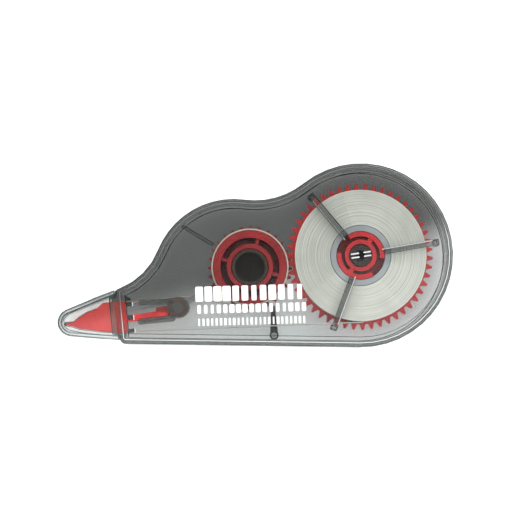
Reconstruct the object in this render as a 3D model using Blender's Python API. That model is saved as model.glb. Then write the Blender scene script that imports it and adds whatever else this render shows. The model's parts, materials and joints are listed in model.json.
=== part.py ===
"""Correction tape roller.

A flat see-through casing holds a full supply roll on a toothed drive wheel, a
geared take-up reel for the spent liner, and an applicator head on a long stem.
A clear cap covers the head.  The roller lies on the back of its casing: X runs
along it with the head towards -X, Z is its thickness, and the origin is under
the middle of its overall box.  All sizes below are in millimetres.
"""

from math import asin, atan2, cos, degrees, pi, radians, sin, sqrt, tan

import bmesh
import bpy
from mathutils import Vector

MM = 0.001

# ---------------------------------------------------------------- casing
LENGTH = 86.5            # nose of the cap to the round end
THICKNESS = 13.0         # back face to front face
WALL = 1.2
EDGE_R = 2.8             # rounding between a face and the side wall
SEAM_GAP = 0.2           # parting line between the two shells
SEAM_LAP = 0.02          # the collar's edges stop this far short of the parting line
WHEEL_ROOM = 2.76        # from the drive wheel's teeth to the wall of the round end
SADDLE_R = 16.9          # hollow between the round end and the shoulder
SHOULDER_R = 17.8        # shoulder over the take-up reel
SHOULDER_SHIFT = Vector((-3.6, -2.9))   # its centre, from the take-up axle
HOLLOW_R = 14.5          # hollow between the shoulder and the neck
BELLY_SLOPE = 0.8        # degrees, the long lower side
TOP_CORNER_R = 0.6
NECK_CORNER_R = 1.3      # lower front corner

# ---------------------------------------------------------------- drive train
MODULE = 0.625
SUPPLY_TEETH = 50
TAKE_UP_TEETH = 28
TOOTH_SHARE = 0.42       # tooth thickness at the pitch circle, as a share of the pitch
ADDENDUM = 0.9           # in modules
DEDENDUM = 1.1
FLANK_ANGLE = 20.0
CENTRES_ANGLE = 186.0    # degrees, from the supply axle to the take-up axle
WHEEL_THICK = 1.4

# ---------------------------------------------------------------- tape
TAPE_WIDTH = 5.0
ROLL_LIFT = 0.5          # lower edge of the tape above the wheels
FILM = 0.15
ROLL_R = 14.4
CORE_OUTER_R = 6.6
CORE_INNER_R = 5.35
LINER_OUTER_R = 8.45

# ---------------------------------------------------------------- clearances
FIT_GAP = 0.1            # pieces pressed or wound together
RUN_GAP = 0.15           # turning fits
CLEAR = 0.3              # pieces that only pass each other
FACE_GAP = 0.3           # end play along an axle
BITE = 0.2               # how deep joined shapes run into each other

# ---------------------------------------------------------------- axles
SUPPLY_TUBE_R = 2.4
SUPPLY_TUBE_BORE_R = 1.25
SUPPLY_PIN_R = 1.05
FIN_WIDTH = 1.0
FIN_TILT = 8.5           # degrees
TAKE_UP_POST_R = 3.95
TAKE_UP_POST_BORE_R = 3.3
SEAT_WIDTH = 0.9         # raised ring under each wheel

# ---------------------------------------------------------------- clutch
CLUTCH_RING_R = 3.5
SHOE_THICK = 1.05
SHOE_HALF_ANGLE = 65.0
SHOE_ANGLES = (58.0, 238.0)
ARM_WIDTH = 1.1
SLEEVE_RISE = 1.7        # drive wheel's own sleeve above its disc

# ---------------------------------------------------------------- take-up reel
DRUM_R = 8.05
DRUM_WALL = 1.6
HUB_R = 5.1
SPOKE_WIDTH = 0.8
SPOKE_ANGLES = (74.0, 164.0, 254.0, 344.0)
SPOKE_DROP = 0.6         # spokes stand this far below the drum's rim

# ---------------------------------------------------------------- casing ribs
RIB_WIDTH = 1.2
RIB_ANGLES = (9.8, 129.8, 249.8)
RIB_OVERHANG = 1.0       # outer end beyond the drive wheel's teeth
KEEPER_LENGTH = 0.8      # deeper block at the rib's outer end, beyond the teeth and the tape's run
GUARD_WIDTH = 0.6
GUARD_ANGLE = 149.0      # rib beside the take-up reel

# ---------------------------------------------------------------- nose, cap and head
NOSE_DROP = 14.65        # nose below the supply axle
NOSE_R = 3.0
TIP_TILT = 5.6           # degrees, the head's axis to X
CAP_TOP_TAPER = 16.0     # degrees, cap's upper side to the head's axis
CAP_BELLY_TAPER = 9.75
CAP_REACH = 10.1         # nose centre to the cap's open end
CAP_STEP = 1.4           # cap's open end thinner than the casing
CAP_WALL = 0.7
CAP_CORNER_R = 1.6
CAP_GAP = 0.25           # cap's open end to the casing
COLLAR_LENGTH = 1.4      # what the cap slides over
CHEEK_THICK = 0.6
HEAD_TOP = 2.9           # head's axis to the top of its wedge, at the rear
HEAD_BELLY = 3.1         # and to its underside
CHEEK_TOP = 3.55         # the same for the cheeks
CHEEK_BELLY = 3.4
HEAD_MARGIN = 0.3        # wedge wider than the tape, each side
HEAD_ROCK = 1.5          # degrees, the head's swing each way on its pin
HEAD_REAR = 12.0         # nose centre to the back of the head
BLADE_THICK = 0.5
BLADE_TIP = -1.05        # end of the blade, along the head's axis from the nose centre
BLADE_DROP = -0.3        # blade below that axis
WEDGE_TOP = ((9.4, 2.9), (5.6, 2.25), (3.7, 1.75), (1.8, 0.8), (0.6, -0.05))
WEDGE_BELLY = ((0.2, -0.85), (1.5, -1.5), (6.0, -2.5), (9.5, -3.05))
STEM_THICK = 1.3
STEM_MARGIN = 0.1        # stem narrower than the tape, each side
STEM_END = 22.3          # nose centre to where the stem meets its eye
PIN_REACH = 23.6         # nose centre to the pivot pin, along the head's axis
PIN_RISE = 0.9           # pivot pin above the head's axis
PIN_R = 1.13
EYE_R = 1.9
EYE_BEND = 0.02          # liner's bow over the eye, per square millimetre
BOSS_R = 2.45
SOCKET_WALL = 0.8
TAIL_LENGTH = 4.7        # rib from the pivot pin towards the head
TAIL_WIDTH = 1.1
STOP_GAP = 1.2           # stem's stop to the front wall

# ---------------------------------------------------------------- pawl
PAWL_X = 18.9            # pivot, from the supply axle
PAWL_PIN_R = 0.5
PAWL_PIN_PROUD = 1.0     # pin beyond the pawl
PAWL_FOOT_R = 1.0
PAWL_TIP_WIDTH = 0.8
PAWL_ANGLE = -61.0       # degrees, where its point meets the pinion
PAWL_WIDTH = 1.6         # along the axle, below the tape

# ---------------------------------------------------------------- derived places
MID_Z = THICKNESS / 2
ROOF_Z = THICKNESS - WALL
TAPE_Z = MID_Z - TAPE_WIDTH / 2
WHEEL_TOP_Z = TAPE_Z - ROLL_LIFT
WHEEL_Z = WHEEL_TOP_Z - WHEEL_THICK
TAPE_TOP_Z = TAPE_Z + TAPE_WIDTH
RIB_Z = TAPE_TOP_Z + CLEAR
KEEPER_Z = WHEEL_TOP_Z + CLEAR
SLEEVE_TOP_Z = WHEEL_TOP_Z + SLEEVE_RISE
CENTRE_DISTANCE = MODULE * (SUPPLY_TEETH + TAKE_UP_TEETH) / 2
SUPPLY_TIP_R = MODULE * (SUPPLY_TEETH / 2 + ADDENDUM)
TAKE_UP_TIP_R = MODULE * (TAKE_UP_TEETH / 2 + ADDENDUM)
END_R = SUPPLY_TIP_R + WHEEL_ROOM + WALL
RIB_REACH = SUPPLY_TIP_R + RIB_OVERHANG
HEAD_THICK = TAPE_WIDTH + 2 * HEAD_MARGIN
STEM_WIDTH = TAPE_WIDTH - 2 * STEM_MARGIN
CAP_NOSE_THICK = HEAD_THICK + 2 * (CHEEK_THICK + CAP_WALL + FIT_GAP)
CAP_REAR_THICK = THICKNESS - CAP_STEP
CASING_FRONT = CAP_REACH + CAP_GAP
ROCK_ROOM = (PIN_REACH - CASING_FRONT + COLLAR_LENGTH) * sin(radians(HEAD_ROCK)) + RUN_GAP


def polar(radius, angle):
    """Vector of a length and an angle in degrees."""
    return Vector((radius * cos(radians(angle)), radius * sin(radians(angle))))


SUPPLY = Vector((LENGTH / 2 - END_R, 0))
TAKE_UP = SUPPLY + polar(CENTRE_DISTANCE, CENTRES_ANGLE)
NOSE = Vector((-LENGTH / 2 + NOSE_R, -NOSE_DROP))
TIP_AXIS = polar(1, TIP_TILT)
TIP_SIDE = polar(1, TIP_TILT + 90)


def at_tip(along, across):
    """Point in the head's own directions, from the centre of the nose."""
    return NOSE + TIP_AXIS * along + TIP_SIDE * across


PIN = at_tip(PIN_REACH, PIN_RISE)


# ================================================================ plane geometry

def arc(centre, radius, start, end, steps):
    """Points on an arc, ends included; angles in degrees."""
    angles = [start + (end - start) * k / steps for k in range(steps + 1)]
    return [centre + polar(radius, angle) for angle in angles]


def circle(centre, radius, steps):
    """Points round a full circle."""
    return arc(centre, radius, 0, 360, steps)[:-1]


def angle_of(vector):
    """Direction of a vector in degrees."""
    return degrees(atan2(vector.y, vector.x))


def circles_meet(centre_a, radius_a, centre_b, radius_b):
    """The upper of the two points where two circles meet."""
    gap = centre_b - centre_a
    distance = gap.length
    along = (radius_a ** 2 - radius_b ** 2 + distance ** 2) / (2 * distance)
    across = sqrt(radius_a ** 2 - along ** 2)
    unit = gap / distance
    side = Vector((-unit.y, unit.x))
    if side.y < 0:
        side = -side
    return centre_a + unit * along + side * across


def lines_meet(point_a, normal_a, point_b, normal_b):
    """Where two lines meet, each given by a point and its normal."""
    right_a = normal_a.dot(point_a)
    right_b = normal_b.dot(point_b)
    size = normal_a.x * normal_b.y - normal_a.y * normal_b.x
    x = (right_a * normal_b.y - right_b * normal_a.y) / size
    y = (normal_a.x * right_b - normal_b.x * right_a) / size
    return Vector((x, y))


def sector(centre, inner, outer, start, end, steps):
    """Outline of a bent bar between two radii."""
    return arc(centre, outer, start, end, steps) + arc(centre, inner, end, start, steps)


def bar(start, end, width):
    """Outline of a straight bar."""
    along = (end - start).normalized()
    side = Vector((-along.y, along.x)) * width / 2
    return [start - side, end - side, end + side, start + side]


def radial_bar(centre, angle, inner, outer, width):
    """Outline of a bar that points away from an axle."""
    return bar(centre + polar(inner, angle), centre + polar(outer, angle), width)


# ================================================================ the casing's outline

TOP_ANGLE = TIP_TILT + CAP_TOP_TAPER
TOP_NORMAL = polar(1, TOP_ANGLE + 90)
BELLY_NORMAL = polar(1, -90 - BELLY_SLOPE)
SHOULDER = TAKE_UP + SHOULDER_SHIFT
SADDLE = circles_meet(SHOULDER, SHOULDER_R + SADDLE_R, SUPPLY, END_R + SADDLE_R)


def hollow_centre():
    """Centre of the arc that joins the shoulder to the straight upper side."""
    reach = SHOULDER_R + HOLLOW_R
    foot = NOSE + TOP_NORMAL * (NOSE_R + HOLLOW_R)
    offset = TOP_NORMAL.dot(SHOULDER - foot)
    along = sqrt(reach ** 2 - offset ** 2)
    return SHOULDER - TOP_NORMAL * offset - polar(along, TOP_ANGLE)


HOLLOW = hollow_centre()


def belly_y(x):
    """Height of the casing's lower side at x."""
    touch = SUPPLY + BELLY_NORMAL * END_R
    return touch.y - tan(radians(BELLY_SLOPE)) * (x - touch.x)


def front_corner(inset, radius, normal, anchor, start, end, steps):
    """Rounded corner between the casing's front face and another side."""
    radius = max(radius - inset, 0.15)
    depth = inset + radius
    face = at_tip(CASING_FRONT + depth, 0)
    centre = lines_meet(face, TIP_AXIS, anchor - normal * depth, normal)
    return arc(centre, radius, start, end, steps)


def casing_outline(inset):
    """The casing's edge, counter-clockwise from the lower front corner, moved in."""
    belly_corner = front_corner(inset, NECK_CORNER_R, BELLY_NORMAL, SUPPLY + BELLY_NORMAL * END_R,
                                180 + TIP_TILT, 270 - BELLY_SLOPE, 3)
    to_saddle = angle_of(SADDLE - SUPPLY)
    end = arc(SUPPLY, END_R - inset, -90 - BELLY_SLOPE, to_saddle, 26)
    to_shoulder = angle_of(SADDLE - SHOULDER)
    saddle = arc(SADDLE, SADDLE_R + inset, to_saddle - 180, to_shoulder - 180, 6)
    to_hollow = angle_of(HOLLOW - SHOULDER)
    shoulder = arc(SHOULDER, SHOULDER_R - inset, to_shoulder, to_hollow, 10)
    hollow = arc(HOLLOW, HOLLOW_R + inset, to_hollow - 180, TOP_ANGLE - 90, 4)
    top_corner = front_corner(inset, TOP_CORNER_R, TOP_NORMAL, NOSE + TOP_NORMAL * NOSE_R,
                              90 + TOP_ANGLE, 180 + TIP_TILT, 2)
    return belly_corner + end + saddle[1:] + shoulder[1:] + hollow[1:] + top_corner


# ================================================================ solids

def lift(points, z):
    """A plane outline at a height."""
    return [Vector((p.x, p.y, z)) for p in points]


def loft(rings, closed=False):
    """Skin a row of rings that have the same number of points."""
    solid = bmesh.new()
    rows = [[solid.verts.new(point) for point in ring] for ring in rings]
    if closed:
        rows.append(rows[0])
    count = len(rows[0])
    for lower, upper in zip(rows, rows[1:]):
        for k in range(count):
            after = (k + 1) % count
            solid.faces.new((lower[k], lower[after], upper[after], upper[k]))
    if not closed:
        solid.faces.new(reversed(rows[0]))
        solid.faces.new(rows[-1])
    return solid


def prism(outline, low, high):
    """A plane outline raised between two heights."""
    return loft([lift(outline, low), lift(outline, high)])


def turned(profile, centre, sides):
    """A ring turned about an upright axis; the profile is (radius, z) pairs."""
    rings = [lift(circle(centre, radius, sides), z) for radius, z in profile]
    return loft(rings, closed=True)


def tube(centre, inner, outer, low, high, sides):
    """A plain round tube."""
    return turned([(outer, low), (outer, high), (inner, high), (inner, low)], centre, sides)


def combine(solids):
    """Several separate solids in one mesh."""
    whole = bmesh.new()
    for solid in solids:
        copied = [whole.verts.new(vert.co) for vert in solid.verts]
        solid.verts.index_update()
        for face in solid.faces:
            whole.faces.new([copied[vert.index] for vert in face.verts])
        solid.free()
    return whole


def make_object(name, solid, pivot=Vector((0, 0))):
    """Turn a solid in millimetres into an object whose origin is on its pivot."""
    place = Vector((pivot.x, pivot.y, 0))
    bmesh.ops.translate(solid, verts=solid.verts, vec=-place)
    bmesh.ops.scale(solid, verts=solid.verts, vec=(MM, MM, MM))
    bmesh.ops.recalc_face_normals(solid, faces=solid.faces)
    mesh = bpy.data.meshes.new(name)
    solid.to_mesh(mesh)
    solid.free()
    piece = bpy.data.objects.new(name, mesh)
    piece.location = place * MM
    bpy.context.scene.collection.objects.link(piece)
    return piece


def finish(piece, material, parent=None, crease=30):
    """Dress a piece, shade its round sides smooth and hang it on its axis."""
    piece.data.materials.append(material)
    piece.data.shade_smooth()
    piece.data.set_sharp_from_angle(angle=radians(crease))
    if parent:
        piece.parent = parent
        piece.location = piece.location - parent.location
    return piece


def shape_with(piece, name, solid, operation):
    """Join a solid to a piece, or cut it away, with a Boolean."""
    tool = make_object(name, solid)
    tool.display_type = 'WIRE'
    tool.hide_render = True
    step = piece.modifiers.new(name, 'BOOLEAN')
    step.object = tool
    step.operation = operation
    step.solver = 'EXACT'
    return tool


def axis_empty(name, point):
    """An empty that marks a joint's axis."""
    empty = bpy.data.objects.new(name, None)
    empty.location = Vector((point.x, point.y, 0)) * MM
    bpy.context.scene.collection.objects.link(empty)
    return empty


def plastic(name, colour, roughness, alpha=1.0, transmission=0.0):
    """A moulded plastic."""
    material = bpy.data.materials.new(name)
    material.use_nodes = True
    shader = material.node_tree.nodes['Principled BSDF']
    shader.inputs['Base Color'].default_value = (*colour, 1)
    shader.inputs['Roughness'].default_value = roughness
    shader.inputs['Metallic'].default_value = 0.0
    shader.inputs['Alpha'].default_value = alpha
    shader.inputs['Transmission Weight'].default_value = transmission
    return material


# ================================================================ cap, collar and mouth

def nose_half(along, side_taper, inset):
    """Half-width of the cap on one side of its axis, at a place along it."""
    radius = NOSE_R - inset
    tangent = -radius * sin(radians(side_taper))
    if along < tangent:
        return sqrt(max(radius ** 2 - along ** 2, 0.0))
    return radius / cos(radians(side_taper)) + along * tan(radians(side_taper))


def cap_half_thick(along, inset):
    """Half the cap's thickness at a place along it, rounded towards the nose."""
    share = (along + NOSE_R) / (CAP_REACH + NOSE_R)
    half = (CAP_NOSE_THICK + (CAP_REAR_THICK - CAP_NOSE_THICK) * share) / 2 - inset
    rounding = CAP_CORNER_R - inset
    depth = along + NOSE_R - inset
    if depth < rounding:
        half -= rounding - sqrt(rounding ** 2 - (rounding - depth) ** 2)
    return half


def section_bounds(along, inset):
    """Sides, half-thickness and corner radius of the cap at a place along it."""
    high = nose_half(along, CAP_TOP_TAPER, inset)
    low = -nose_half(along, CAP_BELLY_TAPER, inset)
    half = cap_half_thick(along, inset)
    radius = min(CAP_CORNER_R - inset * 0.8, (high - low) * 0.45, half * 0.9)
    return low, high, half, radius


def cap_section(along, inset):
    """A rounded rectangle across the cap."""
    low, high, half, radius = section_bounds(along, inset)
    corners = ((high - radius, half - radius, 0), (low + radius, half - radius, 90),
               (low + radius, radius - half, 180), (high - radius, radius - half, 270))
    ring = []
    for across, rise, start in corners:
        for point in arc(Vector((across, rise)), radius, start, start + 90, 3):
            ring.append(stand_up(along, point.x, point.y))
    return ring


def collar_section(along, inset, upper):
    """The half of such a section that belongs to one shell."""
    low, high, half, radius = section_bounds(along, inset)
    seam = -SEAM_GAP / 2 - SEAM_LAP
    path = [Vector((low, seam))] + arc(Vector((low + radius, radius - half)), radius, 180, 270, 3)
    path += arc(Vector((high - radius, radius - half)), radius, 270, 360, 3)
    path.append(Vector((high, seam)))
    return [stand_up(along, point.x, -point.y if upper else point.y) for point in path]


def stand_up(along, across, rise):
    """Point in space from the head's own directions and its height over the middle."""
    place = at_tip(along, across)
    return Vector((place.x, place.y, MID_Z + rise))


def nose_stations(inset):
    """Places along the cap where its round nose needs a section."""
    radius = NOSE_R - inset
    return [-radius * cos(radians(angle)) for angle in (14, 32, 52, 74)]


def make_cap():
    """The clear cap: a flattened cup, open towards the casing."""
    rear = [2.0, 6.0, CAP_REACH]
    outer = [cap_section(along, 0) for along in nose_stations(0) + rear]
    inner = [cap_section(along, CAP_WALL) for along in nose_stations(CAP_WALL) + rear]
    return make_object('tip_cap', loft(outer + inner[::-1]))


def make_collar_plug(upper):
    """One shell's half of the stub that enters the cap, before it is hollowed."""
    inset = CAP_WALL + FIT_GAP
    stations = (CASING_FRONT - COLLAR_LENGTH, CASING_FRONT + WALL * 0.7)
    return loft([collar_section(along, inset, upper) for along in stations])


def make_mouth():
    """The way out for the head through the casing's front wall."""
    half = HEAD_THICK / 2 + CHEEK_THICK + CLEAR
    front = CASING_FRONT - COLLAR_LENGTH - CLEAR
    back = HEAD_REAR + CLEAR
    top = CHEEK_TOP + ROCK_ROOM
    belly = -CHEEK_BELLY - ROCK_ROOM
    corners = ((front, top), (front, belly), (back, belly), (back, top))
    return prism([at_tip(*corner) for corner in corners], MID_Z - half, MID_Z + half)


# ================================================================ casing shells

def shell_rings():
    """Rings of one open shell, lying on its outer face."""
    seam = MID_Z - SEAM_GAP / 2
    inner_r = EDGE_R - WALL
    quarter = [radians(30 * k) for k in range(4)]
    outer = [(EDGE_R * (1 - sin(a)), EDGE_R * (1 - cos(a))) for a in quarter]
    inner = [(WALL + inner_r * (1 - sin(a)), WALL + inner_r * (1 - cos(a))) for a in quarter]
    return outer + [(0, seam), (WALL, seam)] + inner[::-1]


def make_shell(name, upper):
    """One half of the casing with its half of the collar and of the mouth."""
    rings = []
    for inset, z in shell_rings():
        height = THICKNESS - z if upper else z
        rings.append(lift(casing_outline(inset), height))
    shell = make_object(name, loft(rings))
    shape_with(shell, name + '_collar', make_collar_plug(upper), 'UNION')
    shape_with(shell, name + '_mouth', make_mouth(), 'DIFFERENCE')
    return shell


def fork_outline():
    """Guide fork round the pivot pin, open towards the head."""
    upper_prong = [(15.3, 1.25), (16.0, 1.7), (18.9, 2.1), (20.8, 2.9)]
    lower_prong = [(21.9, -1.35), (17.1, -1.55), (15.3, -1.8), (15.2, -1.2)]
    slot = [(21.4, -1.05), (21.4, 1.35), (18.6, 1.3)]
    boss = arc(Vector((PIN_REACH, PIN_RISE)), BOSS_R, 100, -110, 9)
    path = [Vector(p) for p in upper_prong] + boss + [Vector(p) for p in lower_prong + slot]
    return [at_tip(p.x, p.y) for p in path]


def dress_back_shell(shell):
    """Axle tubes, wheel seats, the pivot's socket and the pawl's pin."""
    floor = WALL * 0.6
    seat_z = WHEEL_Z - FACE_GAP
    tube_top = TAPE_TOP_Z + FACE_GAP
    supply_tube = turned([(SUPPLY_TUBE_R, floor), (SUPPLY_TUBE_R, tube_top),
                          (SUPPLY_TUBE_BORE_R, tube_top), (SUPPLY_TUBE_BORE_R, floor)], SUPPLY, 24)
    take_up_tube = turned([(TAKE_UP_POST_R, floor), (TAKE_UP_POST_R, tube_top),
                           (TAKE_UP_POST_BORE_R, tube_top), (TAKE_UP_POST_BORE_R, floor)], TAKE_UP, 32)
    supply_seat = tube(SUPPLY, SUPPLY_TUBE_R + SEAT_WIDTH, SUPPLY_TUBE_R + 2 * SEAT_WIDTH,
                       floor, seat_z, 24)
    take_up_seat = tube(TAKE_UP, TAKE_UP_POST_R + SEAT_WIDTH / 2, TAKE_UP_POST_R + 1.5 * SEAT_WIDTH,
                        floor, seat_z, 32)
    socket = tube(PIN, PIN_R + FIT_GAP, PIN_R + FIT_GAP + SOCKET_WALL, floor, eye_range()[0] - FACE_GAP, 20)
    pawl_pin = prism(circle(pawl_pivot(), PAWL_PIN_R, 12), floor, pawl_range()[1] + PAWL_PIN_PROUD)
    parts = (supply_tube, take_up_tube, supply_seat, take_up_seat, socket, pawl_pin)
    shape_with(shell, 'back_posts', combine(parts), 'UNION')


def dress_front_shell(shell):
    """Axle pin with its fins, tape ribs, the pivot pin with its fork, and guards."""
    roof = ROOF_Z + WALL * 0.4
    fin_reach = polar(SUPPLY_TUBE_R - FIT_GAP, FIN_TILT)
    fins = bar(SUPPLY - fin_reach, SUPPLY + fin_reach, FIN_WIDTH)
    shape_with(shell, 'axle_pin', prism(circle(SUPPLY, SUPPLY_PIN_R, 20), WHEEL_TOP_Z, roof), 'UNION')
    shape_with(shell, 'axle_fins', prism(fins, TAPE_TOP_Z + FACE_GAP + CLEAR, roof), 'UNION')
    ribs = []
    for angle in RIB_ANGLES:
        ribs.append(prism(radial_bar(SUPPLY, angle, CORE_INNER_R, RIB_REACH, RIB_WIDTH), RIB_Z, roof))
    shape_with(shell, 'tape_ribs', combine(ribs), 'UNION')
    keepers = []
    for angle in RIB_ANGLES:
        outline = radial_bar(SUPPLY, angle, RIB_REACH - KEEPER_LENGTH, RIB_REACH + FIT_GAP,
                             RIB_WIDTH + FIT_GAP)
        keepers.append(prism(outline, KEEPER_Z, RIB_Z + 0.5))
    shape_with(shell, 'wheel_keepers', combine(keepers), 'UNION')
    guard_end = wall_reach(TAKE_UP, GUARD_ANGLE)
    guard = radial_bar(TAKE_UP, GUARD_ANGLE, TAKE_UP_TIP_R, guard_end, GUARD_WIDTH)
    shape_with(shell, 'reel_guard', prism(guard, RIB_Z, roof), 'UNION')
    shape_with(shell, 'fork', prism(fork_outline(), RIB_Z + CLEAR, roof), 'UNION')
    shape_with(shell, 'pivot_pin', prism(circle(PIN, PIN_R, 20), WALL + CLEAR, roof), 'UNION')
    to_reel = TAKE_UP - PIN
    link = bar(PIN, PIN + to_reel * (1 - TAKE_UP_TIP_R / to_reel.length), RIB_WIDTH)
    shape_with(shell, 'reel_link', prism(link, RIB_Z + CLEAR * 0.5, roof), 'UNION')
    tail = bar(at_tip(PIN_REACH - TAIL_LENGTH, 1.0), PIN, TAIL_WIDTH)
    shape_with(shell, 'tail_rib', prism(tail, RIB_Z + CLEAR * 1.5, roof), 'UNION')


def wall_reach(centre, angle):
    """Distance from a point to the inside of the shoulder's wall, along an angle."""
    offset = centre - SHOULDER
    unit = polar(1, angle)
    radius = SHOULDER_R - WALL - CLEAR
    along = -offset.dot(unit)
    across = offset.length_squared - along ** 2
    return along + sqrt(radius ** 2 - across)


# ================================================================ wheels

def pitch_radius(teeth):
    """Radius of a wheel's pitch circle."""
    return MODULE * teeth / 2


def toothed_outline(centre, teeth, first_angle):
    """A wheel's outline; first_angle is the middle of one tooth."""
    pitch = pitch_radius(teeth)
    tip = pitch + ADDENDUM * MODULE
    root = pitch - DEDENDUM * MODULE
    half = TOOTH_SHARE * pi * MODULE / 2
    half_tip = half - ADDENDUM * MODULE * tan(radians(FLANK_ANGLE))
    half_root = half + DEDENDUM * MODULE * tan(radians(FLANK_ANGLE))
    points = []
    for tooth in range(teeth):
        middle = first_angle + 360 * tooth / teeth
        for radius, offset in ((root, -half_root), (tip, -half_tip), (tip, half_tip), (root, half_root)):
            points.append(centre + polar(radius, middle + degrees(asin(offset / radius))))
    return points


def make_supply_gear():
    """Drive wheel under the supply roll, with a short sleeve for the clutch."""
    outline = toothed_outline(SUPPLY, SUPPLY_TEETH, CENTRES_ANGLE)
    gear = make_object('supply_gear', prism(outline, WHEEL_Z, WHEEL_TOP_Z), SUPPLY)
    sleeve = prism(circle(SUPPLY, CLUTCH_RING_R, 32), WHEEL_Z + 0.4, SLEEVE_TOP_Z)
    shape_with(gear, 'sleeve', sleeve, 'UNION')
    bore = prism(circle(SUPPLY, SUPPLY_TUBE_R + RUN_GAP, 32), WHEEL_Z - 1, SLEEVE_TOP_Z + 1)
    shape_with(gear, 'supply_bore', bore, 'DIFFERENCE')
    return gear


def make_clutch():
    """Slip clutch: a ring on the axle with two sprung shoes inside the core."""
    low = SLEEVE_TOP_Z + FIT_GAP
    shoe_r = CORE_INNER_R - FIT_GAP
    ring = make_object('clutch_spring', prism(circle(SUPPLY, CLUTCH_RING_R, 32), low, TAPE_TOP_Z), SUPPLY)
    shoes = []
    arms = []
    for angle in SHOE_ANGLES:
        shoe = sector(SUPPLY, shoe_r - SHOE_THICK, shoe_r, angle - SHOE_HALF_ANGLE,
                      angle + SHOE_HALF_ANGLE, 12)
        shoes.append(prism(shoe, low, TAPE_TOP_Z))
        arms.append(prism(radial_bar(SUPPLY, angle, CLUTCH_RING_R - 0.4, shoe_r - 0.5, ARM_WIDTH),
                          low + 0.2, TAPE_TOP_Z - 0.2))
    shape_with(ring, 'shoes', combine(shoes), 'UNION')
    shape_with(ring, 'arms', combine(arms), 'UNION')
    bore = prism(circle(SUPPLY, SUPPLY_TUBE_R + RUN_GAP, 32), low - 1, TAPE_TOP_Z + 1)
    shape_with(ring, 'clutch_bore', bore, 'DIFFERENCE')
    return ring


def make_take_up_reel():
    """Pinion, liner drum, four spokes and hub in one moulding."""
    rim = TAPE_TOP_Z + FACE_GAP * 0.6
    middle = CENTRES_ANGLE - 180 + 180 / TAKE_UP_TEETH
    outline = toothed_outline(TAKE_UP, TAKE_UP_TEETH, middle)
    reel = make_object('take_up_reel', prism(outline, WHEEL_Z, WHEEL_TOP_Z), TAKE_UP)
    sunk = WHEEL_TOP_Z - 0.4
    drum = tube(TAKE_UP, DRUM_R - DRUM_WALL, DRUM_R, sunk, rim, 48)
    hub = tube(TAKE_UP, TAKE_UP_POST_R - 0.3, HUB_R, sunk, rim, 40)
    shape_with(reel, 'drum_and_hub', combine([drum, hub]), 'UNION')
    spokes = [prism(radial_bar(TAKE_UP, angle, HUB_R - 0.4, DRUM_R - DRUM_WALL + 0.6, SPOKE_WIDTH),
                    sunk + 0.2, rim - SPOKE_DROP) for angle in SPOKE_ANGLES]
    shape_with(reel, 'spokes', combine(spokes), 'UNION')
    bore = prism(circle(TAKE_UP, TAKE_UP_POST_R + RUN_GAP, 40), WHEEL_Z - 1, rim + 1)
    shape_with(reel, 'reel_bore', bore, 'DIFFERENCE')
    return reel


# ================================================================ tape and liner

def ribbon_outline(path, thickness):
    """Outline of a thin film that follows a path."""
    left = []
    right = []
    for k, point in enumerate(path):
        before = path[max(k - 1, 0)]
        after = path[min(k + 1, len(path) - 1)]
        along = (after - before).normalized()
        side = Vector((-along.y, along.x)) * thickness / 2
        left.append(point + side)
        right.append(point - side)
    return right + left[::-1]


def film(name, path):
    """A length of tape or liner standing on its edge."""
    return make_object(name, prism(ribbon_outline(path, FILM), TAPE_Z, TAPE_TOP_Z))


def tangent_point(centre, radius, point, turn):
    """Where a line from a point touches a circle; turn is +1 or -1."""
    away = point - centre
    swing = degrees(asin(radius / away.length))
    return centre + polar(radius, angle_of(away) + turn * (90 - swing))


def web_outline():
    """Side view of the wedge that carries the tape to its blade."""
    blade = BLADE_THICK / 2
    tip = [(BLADE_TIP, BLADE_DROP + blade), (BLADE_TIP - blade * 0.6, BLADE_DROP),
           (BLADE_TIP, BLADE_DROP - blade)]
    return [(HEAD_REAR, HEAD_TOP), *WEDGE_TOP, *tip, *WEDGE_BELLY, (HEAD_REAR, -HEAD_BELLY)]


def tape_loop_path():
    """Run of the tape round the head: under it, round the blade and back on top."""
    gap = FIT_GAP + FILM / 2
    rear = HEAD_REAR - RUN_GAP
    round_tip = arc(Vector((BLADE_TIP, BLADE_DROP)), BLADE_THICK / 2 + gap, 260, 100, 6)
    belly = [Vector((rear, -HEAD_BELLY - gap))]
    belly += [Vector((along, across - gap)) for along, across in reversed(WEDGE_BELLY)]
    top = [Vector((along, across + gap)) for along, across in reversed(WEDGE_TOP)]
    top.append(Vector((rear, HEAD_TOP + gap)))
    return [at_tip(p.x, p.y) for p in belly + round_tip + top]


def make_films():
    """Fresh run from the roll, the loop on the head, and the liner's way back."""
    loop = tape_loop_path()
    start = at_tip(HEAD_REAR + CLEAR, -HEAD_BELLY - FIT_GAP)
    touch = tangent_point(SUPPLY, ROLL_R + FIT_GAP + FILM / 2, start, 1)
    fresh = film('fresh_tape_run', [touch, start])
    head_loop = film('tip_tape_loop', loop)
    back = at_tip(HEAD_REAR + CLEAR, HEAD_TOP + FIT_GAP)
    over_eye = PIN + TIP_SIDE * (EYE_R + CLEAR + FILM)
    turn = [over_eye + TIP_AXIS * step - TIP_SIDE * step ** 2 * EYE_BEND
            for step in (-1.5, -0.5, 0.5, 1.5)]
    end = tangent_point(TAKE_UP, LINER_OUTER_R + FIT_GAP + FILM / 2, turn[-1], 1)
    liner = film('liner_run', [back] + turn + [end])
    return fresh, head_loop, liner


# ================================================================ applicator head

def eye_range():
    """Lowest and highest point of the eye round the pivot pin."""
    return MID_Z - STEM_WIDTH / 2, MID_Z + STEM_WIDTH / 2


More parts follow.
